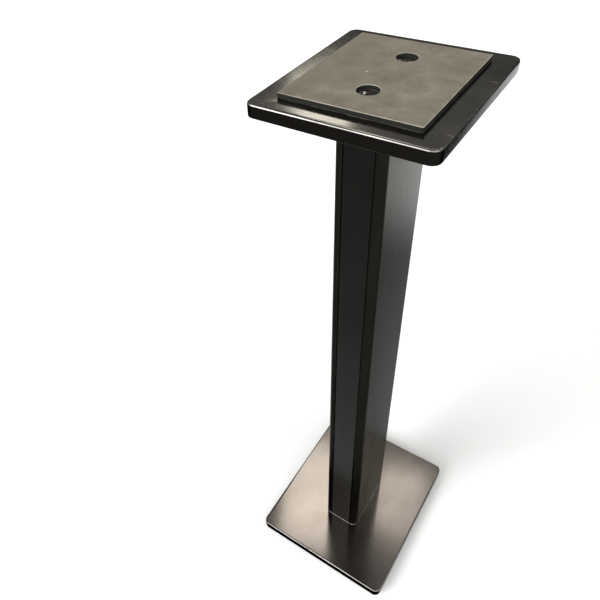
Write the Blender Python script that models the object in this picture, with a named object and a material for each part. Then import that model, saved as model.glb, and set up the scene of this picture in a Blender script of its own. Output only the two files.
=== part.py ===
"""Column speaker stand: a rectangular aluminium column between two thick plates.

The base plate stands on four screw-in levelling feet. The column is one open-fronted
profile whose wiring channel is closed by a press-in cover strip. Two bolts at each end
go through a plate into thread inserts in the profile's screw ports, and a rubber pad
with two bolt openings lies on the top plate.

Metres, +Z up. The origin is on the floor under the middle of the stand, and the front,
with the cover strip, faces -Y.
"""
import math

import bmesh
import bpy

# Heights
OVERALL_HEIGHT = 0.914
FLOOR_GAP = 0.010
PLATE_THICKNESS = 0.016
PAD_THICKNESS = 0.006
FIT_GAP = 0.0003

# Plates and pad
BASE_SIZE = (0.250, 0.296)
TOP_SIZE = (0.212, 0.238)
PAD_SIZE = (0.160, 0.189)
PLATE_CORNER_RADIUS = 0.011
PAD_CORNER_RADIUS = 0.0015
BASE_TOP_FILLET = 0.0020
TOP_TOP_FILLET = 0.0030
UNDERSIDE_FILLET = 0.0012
PAD_HOLE_RADIUS = 0.0125

# Column profile
COLUMN_SIZE = (0.064, 0.122)
COLUMN_CORNER_RADIUS = 0.010
WALL = 0.0026
CHAMBER_CORNER = 0.003
SCREW_PORT_SPACING = 0.094
PORT_OUTER_RADIUS = 0.009
PORT_BORE_RADIUS = 0.0063
PORT_RIB_HALF_WIDTH = 0.004

# Front opening of the profile and the strip that closes it
OPENING_HALF_WIDTH = 0.0200
LEDGE_HALF_WIDTH = 0.0165
LEDGE_THICKNESS = 0.0020
COVER_HALF_WIDTH = 0.0190
COVER_THICKNESS = 0.0030
COVER_EDGE_CHAMFER = 0.0006
COVER_LEG_OUTER = 0.0158
COVER_LEG_THICKNESS = 0.0016
COVER_LEG_DEPTH = 0.0048

# M8 fasteners
THREAD_RADIUS = 0.0040
CLEARANCE_RADIUS = 0.0046
HEAD_RADIUS = 0.0065
HEAD_HEIGHT = 0.0080
HEX_KEY_APOTHEM = 0.0030
HEX_KEY_DEPTH = 0.0042
WASHER_THICKNESS = 0.0016
WASHER_RADIUS = 0.0085
INSERT_RADIUS = 0.0060
INSERT_BORE_RADIUS = 0.0043
INSERT_LENGTH = 0.0220
COUNTERBORE_DEPTH = 0.0105
TOP_COUNTERBORE_RADIUS = 0.0110
BASE_COUNTERBORE_RADIUS = 0.0100
BOLT_END_CHAMFER = 0.0008

# Levelling feet
FOOT_INSET = 0.024
GLIDE_RADIUS = 0.0170
GLIDE_NECK_RADIUS = 0.0115
GLIDE_HEIGHT = 0.0060
GLIDE_SOCKET_FLOOR = 0.0022
GLIDE_EDGE_CHAMFER = 0.0010
GLIDE_RIM_HEIGHT = 0.0028
FLANGE_APOTHEM = 0.0065
FOOT_HOLE_DEPTH = 0.0125
STUD_TOP_CLEARANCE = 0.0015

# Facets
PLATE_CORNER_SEGMENTS = 8
PROFILE_CORNER_SEGMENTS = 8
PORT_SEGMENTS = 16
FILLET_SEGMENTS = 4
ROUND_SEGMENTS = 24
PAD_HOLE_SEGMENTS = 32
SMOOTH_ANGLE = math.radians(35)

# Levels worked out from the driving dimensions
BASE_TOP = FLOOR_GAP + PLATE_THICKNESS
TOP_FACE = OVERALL_HEIGHT - PAD_THICKNESS - FIT_GAP
TOP_UNDERSIDE = TOP_FACE - PLATE_THICKNESS
COLUMN_BOTTOM = BASE_TOP + FIT_GAP
COLUMN_TOP = TOP_UNDERSIDE - FIT_GAP
PORT_Y = {"front": -SCREW_PORT_SPACING / 2, "rear": SCREW_PORT_SPACING / 2}
FOOT_X = BASE_SIZE[0] / 2 - FOOT_INSET
FOOT_Y = BASE_SIZE[1] / 2 - FOOT_INSET
FEET = {
    "front_left": (-FOOT_X, -FOOT_Y),
    "front_right": (FOOT_X, -FOOT_Y),
    "rear_left": (-FOOT_X, FOOT_Y),
    "rear_right": (FOOT_X, FOOT_Y),
}


# ---------------------------------------------------------------- outlines

def arc(centre, radius, start_deg, end_deg, segments):
    """Points on an arc, both ends included."""
    points = []
    for i in range(segments + 1):
        angle = math.radians(start_deg + (end_deg - start_deg) * i / segments)
        points.append((centre[0] + radius * math.cos(angle), centre[1] + radius * math.sin(angle)))
    return points


def rounded_rectangle(half_x, half_y, radius, segments):
    """Counter-clockwise outline about the origin."""
    outline = []
    corners = ((1, 1, 0), (-1, 1, 90), (-1, -1, 180), (1, -1, 270))
    for side_x, side_y, start in corners:
        centre = (side_x * (half_x - radius), side_y * (half_y - radius))
        outline += arc(centre, radius, start, start + 90, segments)
    return outline


def circle(radius, segments=ROUND_SEGMENTS, centre=(0.0, 0.0)):
    return arc(centre, radius, 0, 360, segments)[:-1]


def hexagon(apothem, segments=ROUND_SEGMENTS):
    """A hexagon sampled at the same angles as circle(), so the two can be lofted."""
    points = []
    for i in range(segments):
        angle = 2 * math.pi * i / segments
        from_flat = (angle % (math.pi / 3)) - math.pi / 6
        radius = apothem / math.cos(from_flat)
        points.append((radius * math.cos(angle), radius * math.sin(angle)))
    return points


# ---------------------------------------------------------------- solids

def material(name, colour, roughness, metallic):
    mat = bpy.data.materials.new(name)
    mat.use_nodes = True
    shader = mat.node_tree.nodes["Principled BSDF"]
    shader.inputs["Base Color"].default_value = (*colour, 1.0)
    shader.inputs["Roughness"].default_value = roughness
    shader.inputs["Metallic"].default_value = metallic
    return mat


def add_object(name, bm, mat, location=(0, 0, 0), parent=None):
    bmesh.ops.recalc_face_normals(bm, faces=bm.faces)
    mesh = bpy.data.meshes.new(name)
    bm.to_mesh(mesh)
    bm.free()
    mesh.materials.append(mat)
    mesh.shade_smooth()
    mesh.set_sharp_from_angle(angle=SMOOTH_ANGLE)
    obj = bpy.data.objects.new(name, mesh)
    obj.location = location
    obj.parent = parent
    bpy.context.collection.objects.link(obj)
    return obj


def loft(rings, closed=False):
    """A solid through rings of (outline, z). A closed loft joins its last ring to its first."""
    bm = bmesh.new()
    loops = []
    for outline, z in rings:
        loops.append([bm.verts.new((x, y, z)) for x, y in outline])
    pairs = list(zip(loops, loops[1:]))
    if closed:
        pairs.append((loops[-1], loops[0]))
    else:
        bm.faces.new(loops[0])
        bm.faces.new(loops[-1])
    for lower, upper in pairs:
        count = len(lower)
        for i in range(count):
            j = (i + 1) % count
            bm.faces.new((lower[i], lower[j], upper[j], upper[i]))
    return bm


def prism(outer, holes, bottom, top):
    """A straight extrusion of an outline with holes through it."""
    bm = bmesh.new()
    edges = []
    for outline in [outer] + holes:
        verts = [bm.verts.new((x, y, bottom)) for x, y in outline]
        edges += [bm.edges.new((verts[i - 1], verts[i])) for i in range(len(verts))]
    filled = bmesh.ops.triangle_fill(bm, use_beauty=True, edges=edges)
    faces = [item for item in filled["geom"] if isinstance(item, bmesh.types.BMFace)]
    raised = bmesh.ops.extrude_face_region(bm, geom=faces)
    verts = [item for item in raised["geom"] if isinstance(item, bmesh.types.BMVert)]
    bmesh.ops.translate(bm, verts=verts, vec=(0, 0, top - bottom))
    return bm


def rounded_slab(size, corner_radius, bottom, top, lower_fillet, upper_fillet):
    """A plate with rounded corners whose long edges are filleted above and below."""
    half_x = size[0] / 2
    half_y = size[1] / 2
    rings = []
    for fillet, edge, direction in ((lower_fillet, bottom, 1), (upper_fillet, top, -1)):
        steps = range(FILLET_SEGMENTS + 1)
        if direction < 0:
            steps = reversed(steps)
        for i in steps:
            angle = math.pi / 2 * i / FILLET_SEGMENTS
            inset = fillet * (1 - math.sin(angle))
            z = edge + direction * fillet * (1 - math.cos(angle))
            outline = rounded_rectangle(
                half_x - inset, half_y - inset, corner_radius - inset, PLATE_CORNER_SEGMENTS)
            rings.append((outline, z))
    return loft(rings)


def cutter(name, bm, mat, location):
    obj = add_object(name, bm, mat, location)
    obj.hide_render = True
    obj.display_type = "WIRE"
    return obj


def cut(target, tool):
    modifier = target.modifiers.new(tool.name, "BOOLEAN")
    modifier.operation = "DIFFERENCE"
    modifier.solver = "EXACT"
    modifier.object = tool


# ---------------------------------------------------------------- column

def channel_outline():
    """Outer contour of the profile, running into its open front channel and its port."""
    half_x = COLUMN_SIZE[0] / 2
    half_y = COLUMN_SIZE[1] / 2
    radius = COLUMN_CORNER_RADIUS
    outline = []
    for side_x, side_y, start in ((1, -1, 270), (1, 1, 0), (-1, 1, 90), (-1, -1, 180)):
        centre = (side_x * (half_x - radius), side_y * (half_y - radius))
        outline += arc(centre, radius, start, start + 90, PROFILE_CORNER_SEGMENTS)

    seat_y = -half_y + COVER_THICKNESS + FIT_GAP
    ledge_back_y = seat_y + LEDGE_THICKNESS
    lane_x = half_x - WALL
    port_y = PORT_Y["front"]
    web_y = port_y - WALL / 2
    reach = math.degrees(math.acos(WALL / 2 / PORT_OUTER_RADIUS))
    left_side = [
        (-OPENING_HALF_WIDTH, -half_y),
        (-OPENING_HALF_WIDTH, seat_y),
        (-LEDGE_HALF_WIDTH, seat_y),
        (-LEDGE_HALF_WIDTH, ledge_back_y),
        (-lane_x + CHAMBER_CORNER, ledge_back_y),
        (-lane_x, ledge_back_y + CHAMBER_CORNER),
        (-lane_x, web_y),
    ]
    port = arc((0, port_y), PORT_OUTER_RADIUS, 270 - reach, 270 + reach, PORT_SEGMENTS)
    right_side = [(-x, y) for x, y in reversed(left_side)]
    return outline + left_side + port + right_side


def chamber_outline(front_y, back_y, port_y, opens_back):
    """One closed chamber of the profile, notched around the screw port at one end."""
    half_x = COLUMN_SIZE[0] / 2 - WALL
    trim = CHAMBER_CORNER
    if opens_back:
        lean = math.degrees(math.asin(PORT_RIB_HALF_WIDTH / PORT_OUTER_RADIUS))
        notch = [(PORT_RIB_HALF_WIDTH, back_y)]
        notch += arc((0, port_y), PORT_OUTER_RADIUS, 90 - lean, -270 + lean, PORT_SEGMENTS)
        notch += [(-PORT_RIB_HALF_WIDTH, back_y)]
        front = [(-half_x, front_y + trim), (-half_x + trim, front_y)]
        front += [(half_x - trim, front_y), (half_x, front_y + trim)]
        back = [(half_x, back_y - trim), (half_x - trim, back_y)]
        return front + back + notch + [(-half_x + trim, back_y), (-half_x, back_y - trim)]
    reach = math.degrees(math.acos(WALL / 2 / PORT_OUTER_RADIUS))
    notch = arc((0, port_y), PORT_OUTER_RADIUS, 90 + reach, 90 - reach, PORT_SEGMENTS)
    front = [(-half_x, front_y + trim), (-half_x + trim, front_y)] + notch
    front += [(half_x - trim, front_y), (half_x, front_y + trim)]
    back = [(half_x, back_y - trim), (half_x - trim, back_y)]
    return front + back + [(-half_x + trim, back_y), (-half_x, back_y - trim)]


def make_column(mat):
    back_wall_y = COLUMN_SIZE[1] / 2 - WALL
    holes = [
        chamber_outline(PORT_Y["front"] + WALL / 2, -WALL / 2, PORT_Y["front"], False),
        chamber_outline(WALL / 2, back_wall_y, PORT_Y["rear"], True),
    ]
    for port_y in PORT_Y.values():
        holes.append(circle(PORT_BORE_RADIUS, centre=(0, port_y)))
    length = COLUMN_TOP - COLUMN_BOTTOM
    bm = prism(channel_outline(), holes, 0, length)
    add_object("column_profile", bm, mat, (0, 0, COLUMN_BOTTOM))


def make_cover_strip(mat):
    """Flush strip with two press-in legs. Its origin is on its back face, at its foot."""
    leg_outer = COVER_LEG_OUTER
    leg_inner = COVER_LEG_OUTER - COVER_LEG_THICKNESS
    right = [
        (COVER_HALF_WIDTH - COVER_EDGE_CHAMFER, -COVER_THICKNESS),
        (COVER_HALF_WIDTH, -COVER_THICKNESS + COVER_EDGE_CHAMFER),
        (COVER_HALF_WIDTH, 0),
        (leg_outer, 0),
        (leg_outer, COVER_LEG_DEPTH),
        (leg_inner, COVER_LEG_DEPTH),
        (leg_inner, 0),
    ]
    outline = right + [(-x, y) for x, y in reversed(right)]
    length = COLUMN_TOP - COLUMN_BOTTOM
    bm = prism(outline, [], 0, length)
    back_face_y = -COLUMN_SIZE[1] / 2 + COVER_THICKNESS
    add_object("front_cover_strip", bm, mat, (0, back_face_y, COLUMN_BOTTOM))


# ---------------------------------------------------------------- plates and pad

def make_base_plate(mat):
    bm = rounded_slab(
        BASE_SIZE, PLATE_CORNER_RADIUS, FLOOR_GAP, BASE_TOP, UNDERSIDE_FILLET, BASE_TOP_FILLET)
    plate = add_object("base_plate", bm, mat)
    margin = PLATE_THICKNESS
    for name, port_y in PORT_Y.items():
        bore = loft([
            (circle(BASE_COUNTERBORE_RADIUS), -margin),
            (circle(BASE_COUNTERBORE_RADIUS), COUNTERBORE_DEPTH),
            (circle(CLEARANCE_RADIUS), COUNTERBORE_DEPTH),
            (circle(CLEARANCE_RADIUS), PLATE_THICKNESS + margin),
        ])
        cut(plate, cutter(f"base_bolt_cutter_{name}", bore, mat, (0, port_y, FLOOR_GAP)))
    for name, (x, y) in FEET.items():
        hole = loft([
            (circle(THREAD_RADIUS + FIT_GAP), -margin),
            (circle(THREAD_RADIUS + FIT_GAP), FOOT_HOLE_DEPTH),
        ])
        cut(plate, cutter(f"foot_hole_cutter_{name}", hole, mat, (x, y, FLOOR_GAP)))


def make_top_plate(mat):
    bm = rounded_slab(
        TOP_SIZE, PLATE_CORNER_RADIUS, TOP_UNDERSIDE, TOP_FACE, UNDERSIDE_FILLET, TOP_TOP_FILLET)
    plate = add_object("top_plate", bm, mat)
    margin = PLATE_THICKNESS
    for name, port_y in PORT_Y.items():
        bore = loft([
            (circle(CLEARANCE_RADIUS), -PLATE_THICKNESS - margin),
            (circle(CLEARANCE_RADIUS), -COUNTERBORE_DEPTH),
            (circle(TOP_COUNTERBORE_RADIUS), -COUNTERBORE_DEPTH),
            (circle(TOP_COUNTERBORE_RADIUS), margin),
        ])
        cut(plate, cutter(f"top_bolt_cutter_{name}", bore, mat, (0, port_y, TOP_FACE)))


def make_top_pad(mat):
    outline = rounded_rectangle(
        PAD_SIZE[0] / 2, PAD_SIZE[1] / 2, PAD_CORNER_RADIUS, FILLET_SEGMENTS)
    holes = [circle(PAD_HOLE_RADIUS, PAD_HOLE_SEGMENTS, (0, y)) for y in PORT_Y.values()]
    bm = prism(outline, holes, 0, PAD_THICKNESS)
    add_object("top_pad", bm, mat, (0, 0, TOP_FACE + FIT_GAP))


# ---------------------------------------------------------------- fasteners

def socket_bolt(shank_length, upwards):
    """Cap bolt whose head is seated at z = 0. The shank runs up or down from the seat."""
    way = 1 if upwards else -1
    rings = [
        (circle(THREAD_RADIUS - BOLT_END_CHAMFER), way * shank_length),
        (circle(THREAD_RADIUS), way * (shank_length - BOLT_END_CHAMFER)),
        (circle(THREAD_RADIUS), 0),
        (circle(HEAD_RADIUS), 0),
        (circle(HEAD_RADIUS), -way * (HEAD_HEIGHT - BOLT_END_CHAMFER)),
        (circle(HEAD_RADIUS - BOLT_END_CHAMFER), -way * HEAD_HEIGHT),
        (hexagon(HEX_KEY_APOTHEM), -way * HEAD_HEIGHT),
        (hexagon(HEX_KEY_APOTHEM), -way * (HEAD_HEIGHT - HEX_KEY_DEPTH)),
    ]
    return loft(rings)


def sleeve(outer_radius, inner_radius, length):
    """A plain ring or tube standing on z = 0."""
    rings = [
        (circle(outer_radius), 0),
        (circle(outer_radius), length),
        (circle(inner_radius), length),
        (circle(inner_radius), 0),
    ]
    return loft(rings, closed=True)


def make_end_fasteners(end, upwards, bolt_mat, insert_mat):
    """Both bolts, washers and thread inserts of one end of the column."""
    land = PLATE_THICKNESS - COUNTERBORE_DEPTH
    if upwards:
        way = 1
        plate_face = FLOOR_GAP
        insert_z = COLUMN_BOTTOM + FIT_GAP
    else:
        way = -1
        plate_face = TOP_FACE
        insert_z = COLUMN_TOP - FIT_GAP - INSERT_LENGTH
    washer_far = plate_face + way * (COUNTERBORE_DEPTH - FIT_GAP)
    washer_near = washer_far - way * WASHER_THICKNESS
    seat = washer_near - way * FIT_GAP
    shank = WASHER_THICKNESS + land + INSERT_LENGTH
    for name, port_y in PORT_Y.items():
        add_object(f"{end}_bolt_{name}", socket_bolt(shank, upwards), bolt_mat, (0, port_y, seat))
        washer = sleeve(WASHER_RADIUS, INSERT_BORE_RADIUS, WASHER_THICKNESS)
        washer_z = min(washer_near, washer_far)
        add_object(f"{end}_washer_{name}", washer, bolt_mat, (0, port_y, washer_z))
        insert = sleeve(INSERT_RADIUS, INSERT_BORE_RADIUS, INSERT_LENGTH)
        add_object(f"{end}_insert_{name}", insert, insert_mat, (0, port_y, insert_z))


# ---------------------------------------------------------------- feet

def foot_glide():
    rings = [
        (circle(GLIDE_RADIUS - GLIDE_EDGE_CHAMFER), 0),
        (circle(GLIDE_RADIUS), GLIDE_EDGE_CHAMFER),
        (circle(GLIDE_RADIUS), GLIDE_RIM_HEIGHT),
        (circle(GLIDE_NECK_RADIUS), GLIDE_HEIGHT),
        (circle(THREAD_RADIUS + FIT_GAP), GLIDE_HEIGHT),
        (circle(THREAD_RADIUS + FIT_GAP), GLIDE_SOCKET_FLOOR),
    ]
    return loft(rings)


def foot_stud():
    """Levelling screw: a pin in the glide, a hexagonal flange, and the threaded shank."""
    flange_bottom = GLIDE_HEIGHT + FIT_GAP
    flange_top = FLOOR_GAP - FIT_GAP
    end = FLOOR_GAP + FOOT_HOLE_DEPTH - STUD_TOP_CLEARANCE
    rings = [
        (circle(THREAD_RADIUS), GLIDE_SOCKET_FLOOR + FIT_GAP),
        (circle(THREAD_RADIUS), flange_bottom),
        (hexagon(FLANGE_APOTHEM), flange_bottom),
        (hexagon(FLANGE_APOTHEM), flange_top),
        (circle(THREAD_RADIUS), flange_top),
        (circle(THREAD_RADIUS), end - BOLT_END_CHAMFER),
        (circle(THREAD_RADIUS - BOLT_END_CHAMFER), end),
    ]
    return loft(rings)


def make_feet(glide_mat, stud_mat):
    for name, (x, y) in FEET.items():
        axis = bpy.data.objects.new(f"foot_axis_{name}", None)
        axis.location = (x, y, 0)
        bpy.context.collection.objects.link(axis)
        add_object(f"foot_glide_{name}", foot_glide(), glide_mat, parent=axis)
        add_object(f"foot_stud_{name}", foot_stud(), stud_mat, parent=axis)


def main():
    for obj in list(bpy.data.objects):
        bpy.data.objects.remove(obj, do_unlink=True)

    graphite = material("graphite_plate", (0.16, 0.15, 0.14), 0.30, 1.0)
    black_profile = material("black_anodised_profile", (0.03, 0.03, 0.028), 0.38, 0.6)
    pad_rubber = material("pad_rubber", (0.25, 0.23, 0.19), 0.9, 0.0)
    black_steel = material("black_oxide_steel", (0.04, 0.04, 0.04), 0.4, 1.0)
    zinc_steel = material("zinc_plated_steel", (0.6, 0.6, 0.58), 0.3, 1.0)
    glide_plastic = material("glide_plastic", (0.02, 0.02, 0.02), 0.6, 0.0)

    make_base_plate(graphite)
    make_top_plate(graphite)
    make_column(black_profile)
    make_cover_strip(black_profile)
    make_top_pad(pad_rubber)
    make_end_fasteners("base", True, black_steel, zinc_steel)
    make_end_fasteners("top", False, black_steel, zinc_steel)
    make_feet(glide_plastic, zinc_steel)


main()
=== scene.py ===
"""Looks of the column speaker stand: finishes, rounded metal, foam pad, floor, light, camera."""
import math

import bmesh
import bpy
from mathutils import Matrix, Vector, noise
from mathutils.geometry import delaunay_2d_cdt


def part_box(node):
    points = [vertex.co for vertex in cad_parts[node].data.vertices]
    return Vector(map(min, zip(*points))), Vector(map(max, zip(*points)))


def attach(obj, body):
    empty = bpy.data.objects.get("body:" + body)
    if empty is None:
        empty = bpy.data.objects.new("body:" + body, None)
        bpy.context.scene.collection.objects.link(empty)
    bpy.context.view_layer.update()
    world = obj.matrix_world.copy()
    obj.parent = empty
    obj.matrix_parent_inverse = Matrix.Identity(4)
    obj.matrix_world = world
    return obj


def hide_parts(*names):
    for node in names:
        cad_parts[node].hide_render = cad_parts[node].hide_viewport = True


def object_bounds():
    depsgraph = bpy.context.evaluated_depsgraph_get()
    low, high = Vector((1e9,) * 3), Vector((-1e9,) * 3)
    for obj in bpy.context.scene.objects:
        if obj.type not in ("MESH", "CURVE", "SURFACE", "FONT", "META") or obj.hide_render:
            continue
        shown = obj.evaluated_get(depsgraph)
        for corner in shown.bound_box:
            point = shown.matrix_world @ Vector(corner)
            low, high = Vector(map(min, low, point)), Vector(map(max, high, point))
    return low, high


TINY = 1e-6

# Camera
CAMERA_POSITION = (0.2482, -0.5650, 1.1758)
CAMERA_TURN_DEG = (48.796, 3.257, 34.287)
CAMERA_LENS = 35.41
CAMERA_SHIFT = (0.0538, -0.0514)
SENSOR_WIDTH = 36.0

# Metalwork
SHARP_ANGLE_DEG = 40.0
FLAT_FACE_WEIGHT = 100

# Plates. Tones run from dark to light, and the clouds' number is their noise scale
BASE_TONES = ((0.180, 0.166, 0.149), (0.212, 0.196, 0.177), (0.250, 0.232, 0.211))
BASE_CLOUDS = 6.0
BASE_ROUGHNESS = (0.09, 0.17)
TOP_TONES = ((0.17, 0.165, 0.155), (0.240, 0.231, 0.216), (0.31, 0.300, 0.282))
TOP_CLOUDS = 11.0
TOP_ROUGHNESS = (0.13, 0.19)
# Plate sides near black: painted shade for the dark surroundings that the sides mirror
PLATE_SIDE_PAINTED_SHADE = (0.010, 0.009, 0.008)
PLATE_SCRATCH = (0.42, 0.40, 0.37)
# Pale line on the fillets: partly wear, partly a painted highlight where the key light's highlight
# falls
PLATE_WORN_AND_HIGHLIGHT = (0.36, 0.35, 0.33)
PLATE_GRAZING = 0.335
# Where the looks fade in and out, from 0 on a plate's side to 1 on its flat face
FACE_RISE = (0.82, 0.97)
# The fillet band sits where the key light's highlight falls: wear and painted highlight
WORN_HIGHLIGHT_RISE = (0.40, 0.60)
WORN_HIGHLIGHT_FALL = (0.76, 0.92)
DULL_RISE = (0.10, 0.30)
DULL_FALL = (0.80, 0.95)
DULL_ROUGHNESS = 0.16

# Column. A sawn end shows for about a millimetre from the end of the profile
PROFILE_TONES = ((0.009, 0.009, 0.0075), (0.013, 0.0125, 0.0105))
PROFILE_GRAZING = 0.50
STRIP_TONES = ((0.009, 0.009, 0.0081), (0.0125, 0.012, 0.0109))
STRIP_GRAZING = 0.84
SAWN_METAL = (0.46, 0.44, 0.39)
SAWN_METALLIC_LOSS = 0.85
SAWN_FOOT_FADE = (0.0008, 0.0017)
SAWN_HEAD_FADE = (0.0014, 0.0006)

# Pad finish
PAD_TONES = ((0.106, 0.093, 0.068), (0.153, 0.138, 0.106), (0.214, 0.197, 0.158))
PAD_STAIN = (0.121, 0.107, 0.082)
# The pad's cut sides are the same foam, painted near black: painted shade
PAD_SIDE_PAINTED_SHADE = (0.009, 0.0088, 0.0068)
PAD_PALE_FOOT = (0.080, 0.074, 0.058)
PAD_FOOT_FADE = (0.0004, 0.0012)
PAD_RUBBED = (0.40, 0.375, 0.315)
PAD_LINT = (0.66, 0.64, 0.58)

# Pad shape: two punched holes over the bolts, eased edges, a faintly uneven top
PAD_HOLE_RADIUS = 0.0125
PAD_CORNER_RADIUS = 0.0015
PAD_CORNER_STEPS = 5
PAD_EDGE_ROUND = 0.0008
PAD_EDGE_STEPS = 4
PAD_SPACING = 0.003
PAD_CUT_WOBBLE = 0.00035
PAD_CUT_WAVELENGTH = 0.022
PAD_DIP = 0.00045
PAD_DIP_WAVELENGTH = 0.030
# Fractal increment, lacunarity, octaves
PAD_DIP_FRACTAL = (1.0, 2.0, 3)
# The kind of result asked of the triangulation
TRIANGLES_INSIDE_EDGES = 1

# Fasteners and feet
BLACK_OXIDE_TONES = ((0.022, 0.022, 0.022), (0.055, 0.053, 0.050))
BLACK_OXIDE_ROUGHNESS = (0.34, 0.50)
ZINC_TONES = ((0.48, 0.48, 0.46), (0.70, 0.70, 0.67))
ZINC_ROUGHNESS = (0.24, 0.38)
PLASTIC_TONES = ((0.014, 0.014, 0.014), (0.060, 0.058, 0.055))

# Floor
FLOOR_SIZE = 80.0
FLOOR_CLEARANCE = 0.0005
FLOOR_TONES = ((0.895, 0.895, 0.895), (0.905, 0.905, 0.905))

# Light: a soft key from the front left, and panels, most of them where the metal mirrors them
AMBIENT = 0.26
AMBIENT_COLOUR = (1.0, 0.99, 0.96, 1.0)
KEY_FROM = (-0.40, -0.76, 0.51)
KEY_STRENGTH = 3.4
KEY_SOFTNESS_DEG = 34.0
DOWN = (0.0, 0.0, -1.0)
# Name, place, aimed at, size, power, colour
LIGHT_PANELS = (
    ("ceiling_left", (-0.74, 1.08, 2.50), (-0.07, -0.07, 0.03), (0.44, 0.66), 3.0,
     (1.0, 0.93, 0.86)),
    ("ceiling_right", (-0.27, 1.33, 2.50), (0.10, 0.02, 0.03), (0.34, 0.42), 1.0,
     (1.0, 0.92, 0.87)),
    ("ceiling_far", (0.61, 1.45, 2.50), (0.05, 0.05, 0.03), (0.60, 0.60), 3.3,
     (1.0, 0.95, 0.82)),
    ("fill_right", (1.60, -1.10, 2.80), (0.0, 0.0, 0.20), (3.40, 3.40), 70,
     (1.0, 1.0, 1.0)),
    ("front_high", (-0.50, -1.25, 2.55), (0.0, -0.08, 0.03), (0.75, 0.80), 4.0,
     (1.0, 0.97, 0.90)),
    ("low_rear", (-0.965, 1.50, 1.79), (-0.03, -0.08, 0.91), (0.25, 0.25), 0.98,
     (1.0, 0.97, 0.86)),
)
# Spots straight down on the floor: one that the column's side mirrors, one for the far floor
# Name, place, power, cone angle in degrees, blend
FLOOR_SPOTS = (
    ("floor_pool", (0.75, 1.75, 3.0), 2600, 40.0, 0.65),
    ("floor_wash", (-1.80, 3.80, 5.0), 650, 76.0, 0.60),
)


# ---------------------------------------------------------------- node helpers

class Nodes:
    """A short way to write a material's node tree."""

    def __init__(self, name):
        self.material = bpy.data.materials.new(name)
        self.material.use_nodes = True
        self.tree = self.material.node_tree
        self.shader = self.tree.nodes["Principled BSDF"]

    def link(self, source, target):
        self.tree.links.new(source, target)

    def put(self, socket, value):
        """A number or colour goes on the socket itself, and anything else is linked."""
        if isinstance(value, (int, float)):
            socket.default_value = value
        elif isinstance(value, tuple):
            socket.default_value = (*value, 1.0)
        else:
            self.link(value, socket)

    def shade(self, name, value):
        """Gives one of the shader's own inputs a number, a colour or a node's output."""
        self.put(self.shader.inputs[name], value)

    def coordinates(self, output="Object"):
        return self.tree.nodes.new("ShaderNodeTexCoord").outputs[output]

    def axis(self, output, component):
        split = self.tree.nodes.new("ShaderNodeSeparateXYZ")
        self.link(self.coordinates(output), split.inputs["Vector"])
        return split.outputs[component]

    def noise(self, scale, detail, roughness, stretch=(1.0, 1.0, 1.0)):
        mapping = self.tree.nodes.new("ShaderNodeMapping")
        mapping.inputs["Scale"].default_value = stretch
        self.link(self.coordinates(), mapping.inputs["Vector"])
        node = self.tree.nodes.new("ShaderNodeTexNoise")
        node.inputs["Scale"].default_value = scale
        node.inputs["Detail"].default_value = detail
        node.inputs["Roughness"].default_value = roughness
        self.link(mapping.outputs["Vector"], node.inputs["Vector"])
        return node.outputs["Fac"]

    def ramp(self, factor, positions, colours):
        node = self.tree.nodes.new("ShaderNodeValToRGB")
        elements = node.color_ramp.elements
        while len(elements) < len(colours):
            elements.new(0.5)
        for element, position, colour in zip(elements, positions, colours):
            element.position = position
            element.color = (*colour, 1.0)
        self.link(factor, node.inputs["Fac"])
        return node.outputs["Color"]

    def remap(self, value, low, high, new_low, new_high):
        node = self.tree.nodes.new("ShaderNodeMapRange")
        limits = {"From Min": low, "From Max": high, "To Min": new_low, "To Max": new_high}
        for key, number in limits.items():
            node.inputs[key].default_value = number
        self.link(value, node.inputs["Value"])
        return node.outputs["Result"]

    def math(self, operation, first, second=0.0):
        node = self.tree.nodes.new("ShaderNodeMath")
        node.operation = operation
        self.put(node.inputs[0], first)
        self.put(node.inputs[1], second)
        return node.outputs["Value"]

    def band(self, value, rise, fall):
        """1 between the two ramps, and 0 outside them."""
        rising = self.remap(value, *rise, 0.0, 1.0)
        falling = self.remap(value, *fall, 1.0, 0.0)
        return self.math("MULTIPLY", rising, falling)

    def mix(self, factor, first, second):
        node = self.tree.nodes.new("ShaderNodeMixRGB")
        self.put(node.inputs["Fac"], factor)
        self.put(node.inputs["Color1"], first)
        self.put(node.inputs["Color2"], second)
        return node.outputs["Color"]

    def bump(self, height, strength, distance):
        node = self.tree.nodes.new("ShaderNodeBump")
        node.inputs["Strength"].default_value = strength
        node.inputs["Distance"].default_value = distance
        self.link(height, node.inputs["Height"])
        self.link(node.outputs["Normal"], self.shader.inputs["Normal"])


# ---------------------------------------------------------------- materials

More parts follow.
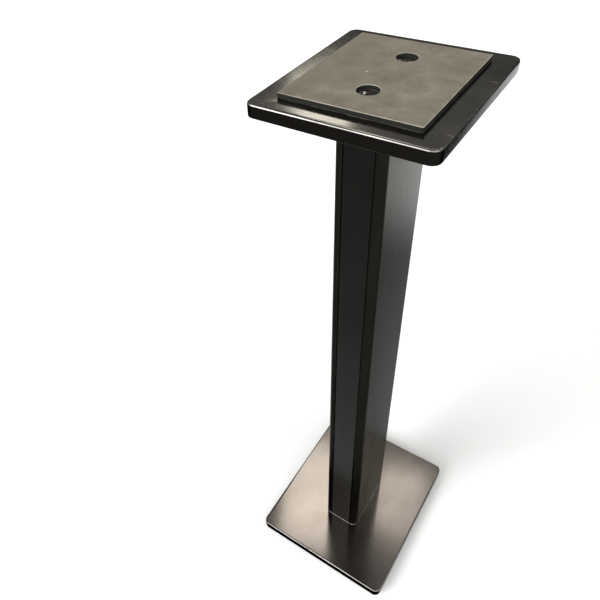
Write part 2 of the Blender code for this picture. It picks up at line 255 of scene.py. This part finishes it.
def plate_metal(name, tones, cloud_scale, rough_range):
    """Satin graphite metal: clouded scratched faces, sides painted near black as painted shade, a
    worn line with a painted highlight on the fillet.
    """
    n = Nodes(name)
    clouds = n.noise(cloud_scale, 5.0, 0.6)
    hazes = n.noise(6.0, 3.0, 0.5, (1.5, 0.8, 1.5))
    grain = n.noise(90.0, 3.0, 0.6, (1.0, 10.0, 1.0))
    specks = n.noise(420.0, 2.0, 0.5)
    scratches = n.noise(26.0, 2.0, 0.4, (1.0, 14.0, 1.0))
    face = n.ramp(clouds, (0.28, 0.50, 0.74), tones)
    scuffed = n.remap(scratches, 0.70, 0.76, 0.0, 0.45)
    face = n.mix(scuffed, face, PLATE_SCRATCH)
    up = n.math("ABSOLUTE", n.axis("Normal", "Z"))
    # Sides take the near-black colour: painted shade of the dark surroundings they mirror
    body = n.mix(n.remap(up, *FACE_RISE, 0.0, 1.0), PLATE_SIDE_PAINTED_SHADE, face)
    # The pale fillet line: wear and a painted highlight
    fillet = n.band(up, WORN_HIGHLIGHT_RISE, WORN_HIGHLIGHT_FALL)
    worn_and_highlight = n.math("MULTIPLY", fillet, n.remap(hazes, 0.35, 0.62, 0.25, 1.0))
    n.shade("Base Color", n.mix(worn_and_highlight, body, PLATE_WORN_AND_HIGHLIGHT))
    duller = n.math("MULTIPLY", n.band(up, DULL_RISE, DULL_FALL), DULL_ROUGHNESS)
    rough = n.remap(hazes, 0.35, 0.65, *rough_range)
    rough = n.math("ADD", rough, n.remap(grain, 0.3, 0.7, -0.02, 0.02))
    rough = n.math("ADD", rough, n.math("MULTIPLY", scuffed, 0.3))
    rough = n.math("ADD", rough, duller)
    n.shade("Roughness", n.math("ADD", rough, n.remap(specks, 0.68, 0.76, 0.0, 0.16)))
    n.shade("Metallic", 1.0)
    n.shade("Specular Tint", (PLATE_GRAZING, PLATE_GRAZING, PLATE_GRAZING))
    n.bump(n.math("ADD", grain, n.math("MULTIPLY", specks, 0.4)), 0.02, 0.0002)
    return n.material


def black_anodised(name, ends, tones, grazing):
    """Black anodised extrusion with faint vertical draw lines and bright sawn ends."""
    n = Nodes(name)
    lines = n.noise(700.0, 3.0, 0.6, (1.0, 1.0, 0.006))
    patches = n.noise(7.0, 3.0, 0.5)
    colour = n.ramp(patches, (0.3, 0.7), tones)
    height = n.axis("Object", "Z")
    foot = n.remap(height, ends[0] + SAWN_FOOT_FADE[0], ends[0] + SAWN_FOOT_FADE[1], 1.0, 0.0)
    head = n.remap(height, ends[1] - SAWN_HEAD_FADE[0], ends[1] - SAWN_HEAD_FADE[1], 0.0, 1.0)
    sawn = n.math("MAXIMUM", foot, head)
    n.shade("Base Color", n.mix(sawn, colour, SAWN_METAL))
    lost = n.math("MULTIPLY", sawn, SAWN_METALLIC_LOSS)
    n.shade("Metallic", n.math("SUBTRACT", 1.0, lost))
    rough = n.remap(lines, 0.3, 0.7, 0.19, 0.29)
    n.shade("Roughness", n.math("ADD", rough, n.remap(patches, 0.3, 0.7, -0.02, 0.03)))
    n.shade("Specular Tint", (grazing, grazing, grazing))
    n.bump(lines, 0.05, 0.0001)
    return n.material


def pad_foam(bottom):
    """Grey-olive foam rubber: mottled top, pale rubbed edges, cut sides painted near black as
    painted shade, with a pale foot.
    """
    n = Nodes("pad_foam_rubber")
    mottle = n.noise(38.0, 7.0, 0.68)
    stains = n.noise(8.0, 3.0, 0.5)
    cells = n.noise(950.0, 3.0, 0.6)
    lint = n.noise(210.0, 1.0, 0.4)
    top = n.ramp(mottle, (0.28, 0.52, 0.76), PAD_TONES)
    top = n.mix(n.remap(stains, 0.35, 0.65, 0.0, 0.5), top, PAD_STAIN)
    up = n.axis("Normal", "Z")
    height = n.axis("Object", "Z")
    foot = n.remap(height, bottom + PAD_FOOT_FADE[0], bottom + PAD_FOOT_FADE[1], 0.8, 0.0)
    foot = n.math("MULTIPLY", foot, n.remap(mottle, 0.45, 0.60, 0.1, 1.0))
    # Sides take the near-black colour: painted shade
    side = n.mix(foot, PAD_SIDE_PAINTED_SHADE, PAD_PALE_FOOT)
    body = n.mix(n.remap(up, 0.30, 0.75, 0.0, 1.0), side, top)
    rim = n.band(up, (0.45, 0.70), (0.93, 0.99))
    rubbed = n.math("MULTIPLY", rim, n.remap(mottle, 0.35, 0.6, 0.45, 1.0))
    body = n.mix(rubbed, body, PAD_RUBBED)
    n.shade("Base Color", n.mix(n.remap(lint, 0.80, 0.82, 0.0, 0.8), body, PAD_LINT))
    n.shade("Roughness", n.remap(mottle, 0.3, 0.7, 0.80, 0.95))
    n.shade("Specular IOR Level", 0.3)
    n.bump(n.math("ADD", cells, n.math("MULTIPLY", mottle, 1.5)), 0.35, 0.0003)
    return n.material


def plated_steel(name, tones, rough_range):
    """Turned and plated fastener steel with small tone changes."""
    n = Nodes(name)
    tone = n.noise(160.0, 4.0, 0.6)
    rings = n.noise(200.0, 2.0, 0.5, (1.0, 1.0, 9.0))
    n.shade("Base Color", n.ramp(tone, (0.3, 0.7), tones))
    n.shade("Roughness", n.remap(tone, 0.3, 0.7, *rough_range))
    n.shade("Metallic", 1.0)
    n.bump(rings, 0.12, 0.0001)
    return n.material


def moulded_plastic():
    """Black moulded plastic of the glides, scuffed lighter in places."""
    n = Nodes("glide_moulded_plastic")
    scuffs = n.noise(90.0, 5.0, 0.65)
    grain = n.noise(1600.0, 2.0, 0.5)
    n.shade("Base Color", n.ramp(scuffs, (0.45, 0.8), PLASTIC_TONES))
    n.shade("Roughness", n.remap(scuffs, 0.3, 0.7, 0.45, 0.68))
    n.bump(grain, 0.15, 0.0001)
    return n.material


def floor_paint():
    """Matt pale paint, all but even."""
    n = Nodes("floor_pale")
    n.shade("Base Color", n.ramp(n.noise(1.5, 2.0, 0.5), (0.3, 0.7), FLOOR_TONES))
    n.shade("Roughness", 0.95)
    n.shade("Specular IOR Level", 0.1)
    return n.material


# ---------------------------------------------------------------- pieces

def add_object(name, mesh, material):
    mesh.materials.clear()
    mesh.materials.append(material)
    piece = bpy.data.objects.new(name, mesh)
    bpy.context.collection.objects.link(piece)
    return piece


def shade_round(mesh):
    """Smooth shading that leaves the sharp edges sharp."""
    mesh.shade_smooth()
    mesh.set_sharp_from_angle(angle=math.radians(SHARP_ANGLE_DEG))


def rounded_piece(node, body, material):
    """The node's shape with its fillets and corners shaded round, and its flat faces kept flat."""
    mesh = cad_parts[node].data.copy()
    bm = bmesh.new()
    bm.from_mesh(mesh)
    bmesh.ops.remove_doubles(bm, verts=bm.verts, dist=TINY)
    bm.to_mesh(mesh)
    bm.free()
    shade_round(mesh)
    piece = add_object(f"{node}_body", mesh, material)
    weighted = piece.modifiers.new("flat_faces", "WEIGHTED_NORMAL")
    weighted.keep_sharp = True
    weighted.weight = FLAT_FACE_WEIGHT
    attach(piece, body)
    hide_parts(node)


def rectangle_outline(low, high):
    """A rounded rectangle, counter-clockwise, with points no further apart than PAD_SPACING."""
    r = PAD_CORNER_RADIUS
    corners = []
    for x, y, start in ((high.x - r, high.y - r, 0), (low.x + r, high.y - r, 90),
                        (low.x + r, low.y + r, 180), (high.x - r, low.y + r, 270)):
        for i in range(PAD_CORNER_STEPS + 1):
            angle = math.radians(start + 90 * i / PAD_CORNER_STEPS)
            corners.append(Vector((x + r * math.cos(angle), y + r * math.sin(angle))))
    points = []
    for here, after in zip(corners, corners[1:] + corners[:1]):
        steps = max(1, math.ceil((after - here).length / PAD_SPACING))
        points += [here.lerp(after, i / steps) for i in range(steps)]
    return points


def hole_outline(centre):
    """A circle, clockwise: the pad is then on its left, as it is on the outer outline's."""
    count = math.ceil(2 * math.pi * PAD_HOLE_RADIUS / (PAD_SPACING / 2))
    turns = [-2 * math.pi * i / count for i in range(count)]
    return [centre + PAD_HOLE_RADIUS * Vector((math.cos(turn), math.sin(turn))) for turn in turns]


def inward(outline):
    """For each point, the direction into the pad."""
    normals = []
    for i in range(len(outline)):
        along = (outline[(i + 1) % len(outline)] - outline[i - 1]).normalized()
        normals.append(Vector((-along.y, along.x)))
    return normals


def cut_edge(outline):
    """The outline as a knife leaves it: it wanders slightly, and only inwards."""
    wandering = []
    for point, normal in zip(outline, inward(outline)):
        wander = noise.noise(Vector((*point, 0.0)) / PAD_CUT_WAVELENGTH)
        wandering.append(point + normal * PAD_CUT_WOBBLE * (0.5 + 0.5 * wander))
    return wandering


def fill_between(bm, loops, centres):
    """Fills a level face between its edge loops with even triangles, and returns its new points.

    The first loop is the outer edge, and the others are holes around the centres."""
    rim = [vert for loop in loops for vert in loop]
    holes = [set(hole) for hole in loops[1:]]
    flat = [vert.co.xy for vert in rim]
    edges = []
    first = 0
    for loop in loops:
        edges += [(first + i, first + (i + 1) % len(loop)) for i in range(len(loop))]
        first += len(loop)
    low = Vector((min(p.x for p in flat), min(p.y for p in flat)))
    high = Vector((max(p.x for p in flat), max(p.y for p in flat)))
    columns = round((high.x - low.x) / PAD_SPACING)
    rows = round((high.y - low.y) / PAD_SPACING)
    margin = PAD_SPACING / 2
    for row in range(1, rows):
        for column in range(1, columns):
            point = Vector((low.x + column * PAD_SPACING, low.y + row * PAD_SPACING))
            near_edge = high.x - point.x < margin or high.y - point.y < margin
            near_hole = any((point - c).length < PAD_HOLE_RADIUS + margin for c in centres)
            if not near_edge and not near_hole:
                flat.append(point)
    points, _, faces, *_ = delaunay_2d_cdt(flat, edges, [], TRIANGLES_INSIDE_EDGES, TINY)
    level = rim[0].co.z
    inner = [bm.verts.new((*point, level)) for point in points[len(rim):]]
    verts = rim + inner
    for face in faces:
        corners = [verts[i] for i in face]
        # A triangle with all its corners on one hole's edge lies inside that hole
        if not any(hole.issuperset(corners) for hole in holes):
            bm.faces.new(corners)
    return inner


def build_pad(material):
    """The foam pad: cut sides, eased rims round its edge and holes, and a faintly dented top."""
    low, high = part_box("top_pad")
    centres = [sum(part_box(f"top_bolt_{end}"), Vector()).xy / 2 for end in ("front", "rear")]
    bm = bmesh.new()
    tops = []
    bottoms = []
    for outline in [cut_edge(rectangle_outline(low, high))] + [hole_outline(c) for c in centres]:
        normals = inward(outline)
        levels = [(0.0, low.z)]
        for i in range(PAD_EDGE_STEPS + 1):
            angle = math.pi / 2 * i / PAD_EDGE_STEPS
            levels.append((PAD_EDGE_ROUND * (1 - math.cos(angle)),
                           high.z - PAD_EDGE_ROUND * (1 - math.sin(angle))))
        rings = []
        for inset, z in levels:
            rings.append([bm.verts.new((*(point + normal * inset), z))
                          for point, normal in zip(outline, normals)])
        for lower, upper in zip(rings, rings[1:]):
            for i in range(len(lower)):
                j = (i + 1) % len(lower)
                bm.faces.new((lower[i], lower[j], upper[j], upper[i]))
        tops.append(rings[-1])
        bottoms.append(rings[0])
    inner = fill_between(bm, tops, centres)
    fill_between(bm, bottoms, centres)
    for vert in inner:
        dent = noise.fractal(Vector((*vert.co.xy, 0.0)) / PAD_DIP_WAVELENGTH, *PAD_DIP_FRACTAL)
        vert.co.z -= PAD_DIP * min(1.0, max(0.0, 0.5 + dent))
    bmesh.ops.recalc_face_normals(bm, faces=bm.faces)
    mesh = bpy.data.meshes.new("foam_pad")
    bm.to_mesh(mesh)
    bm.free()
    shade_round(mesh)
    pad = add_object("foam_pad", mesh, material)
    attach(pad, "stand")
    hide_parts("top_pad")


# ---------------------------------------------------------------- surroundings

def build_floor():
    bm = bmesh.new()
    bmesh.ops.create_grid(bm, x_segments=2, y_segments=2, size=FLOOR_SIZE / 2)
    mesh = bpy.data.meshes.new("floor")
    bm.to_mesh(mesh)
    bm.free()
    floor = add_object("floor", mesh, floor_paint())
    floor.location.z = cad_box[0].z - FLOOR_CLEARANCE


def add_lamp(name, kind, place, toward):
    """A lamp that shines from its place along the direction given."""
    light = bpy.data.lights.new(name, kind)
    lamp = bpy.data.objects.new(name, light)
    lamp.location = place
    lamp.rotation_euler = Vector(toward).to_track_quat("-Z", "Y").to_euler()
    bpy.context.collection.objects.link(lamp)
    return light


def build_lights():
    world = bpy.data.worlds.new("studio")
    world.use_nodes = True
    background = world.node_tree.nodes["Background"]
    background.inputs["Color"].default_value = AMBIENT_COLOUR
    background.inputs["Strength"].default_value = AMBIENT
    bpy.context.scene.world = world
    key = add_lamp("key", "SUN", KEY_FROM, -Vector(KEY_FROM))
    key.energy = KEY_STRENGTH
    key.angle = math.radians(KEY_SOFTNESS_DEG)
    for name, place, power, angle, blend in FLOOR_SPOTS:
        spot = add_lamp(name, "SPOT", place, DOWN)
        spot.energy = power
        spot.spot_size = math.radians(angle)
        spot.spot_blend = blend
    for name, place, target, size, power, colour in LIGHT_PANELS:
        panel = add_lamp(name, "AREA", place, Vector(target) - Vector(place))
        panel.shape = "RECTANGLE"
        panel.size, panel.size_y = size
        panel.energy = power
        panel.color = colour


def build_camera():
    data = bpy.data.cameras.new("camera")
    data.lens = CAMERA_LENS
    data.sensor_width = SENSOR_WIDTH
    data.shift_x, data.shift_y = CAMERA_SHIFT
    camera = bpy.data.objects.new("camera", data)
    camera.location = CAMERA_POSITION
    camera.rotation_euler = [math.radians(angle) for angle in CAMERA_TURN_DEG]
    bpy.context.collection.objects.link(camera)
    bpy.context.scene.camera = camera


# ---------------------------------------------------------------- the stand

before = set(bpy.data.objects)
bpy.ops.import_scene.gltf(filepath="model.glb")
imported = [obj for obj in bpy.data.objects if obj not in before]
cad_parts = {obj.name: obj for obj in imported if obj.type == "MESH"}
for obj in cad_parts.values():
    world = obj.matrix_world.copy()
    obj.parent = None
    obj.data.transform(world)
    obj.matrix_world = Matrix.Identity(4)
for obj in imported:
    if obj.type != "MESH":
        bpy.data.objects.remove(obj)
cad_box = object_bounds()
bpy.context.scene.view_settings.view_transform = "Standard"
build_camera()

column_low, column_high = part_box("column_profile")
column_ends = (column_low.z, column_high.z)
base_metal = plate_metal("base_plate_metal", BASE_TONES, BASE_CLOUDS, BASE_ROUGHNESS)
top_metal = plate_metal("top_plate_metal", TOP_TONES, TOP_CLOUDS, TOP_ROUGHNESS)
profile_black = black_anodised(
    "black_profile_finish", column_ends, PROFILE_TONES, PROFILE_GRAZING)
strip_black = black_anodised("cover_strip_finish", column_ends, STRIP_TONES, STRIP_GRAZING)
rounded_piece("base_plate", "stand", base_metal)
rounded_piece("top_plate", "stand", top_metal)
rounded_piece("column_profile", "stand", profile_black)
rounded_piece("front_cover_strip", "cover", strip_black)
build_pad(pad_foam(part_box("top_pad")[0].z))

black_steel = plated_steel("black_oxide_steel", BLACK_OXIDE_TONES, BLACK_OXIDE_ROUGHNESS)
zinc_steel = plated_steel("zinc_plated_steel", ZINC_TONES, ZINC_ROUGHNESS)
small_parts = {"bolt": black_steel, "washer": black_steel, "insert": zinc_steel,
               "stud": zinc_steel, "glide": moulded_plastic()}
for name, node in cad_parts.items():
    for word, finish in small_parts.items():
        if word in name:
            node.data.materials.clear()
            node.data.materials.append(finish)

build_floor()
build_lights()
